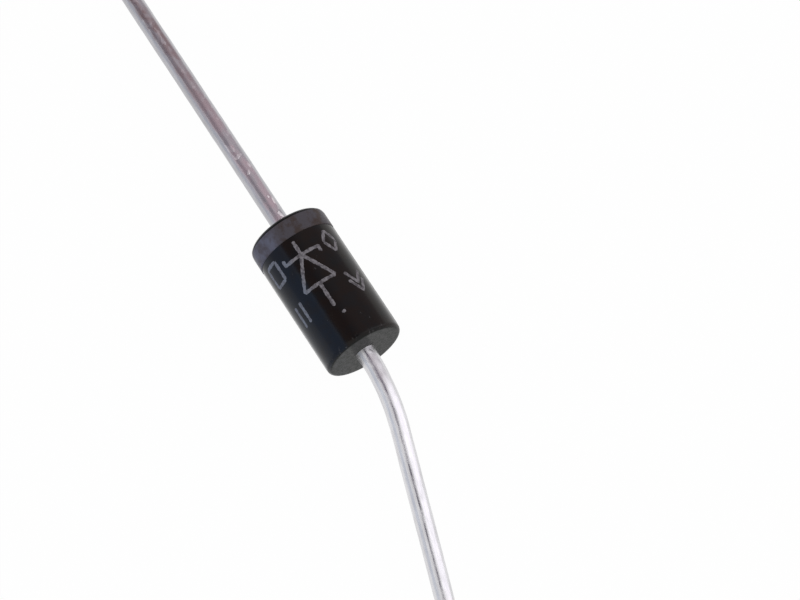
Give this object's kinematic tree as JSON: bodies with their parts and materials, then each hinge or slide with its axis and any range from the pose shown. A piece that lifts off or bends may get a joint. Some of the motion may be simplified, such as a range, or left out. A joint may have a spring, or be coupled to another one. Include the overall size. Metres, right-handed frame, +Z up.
{
  "type": "schottky diode",
  "caption": "Axial-lead Schottky rectifier diode: black moulded cylinder with a grey cathode band and a tinned wire lead at each end, one of them bent.",
  "frame": {"origin": "on the floor, below the middle of the part's box, as the diode lies at rest", "axes": "+Z up from the floor it lies on, +X level and from the banded cathode end towards the anode end, which stands 4.4 degrees higher, the bent anode lead leans out towards -Y"},
  "size_m": [0.0604, 0.01, 0.0059],
  "materials": {
    "black_epoxy": "satin moulded epoxy",
    "band_ink": "dull grey ink",
    "tinned_wire": "bright tin plating on copper wire",
    "silicon": "polished silicon with a metal face",
    "solder": "dull soft solder"
  },
  "bodies": {
    "root": {"moulded_case": "black_epoxy", "cathode_band": "band_ink", "cathode_lead": "tinned_wire", "anode_lead": "tinned_wire", "schottky_chip": "silicon", "cathode_solder": "solder", "anode_solder": "solder"}
  },
  "joints": []
}
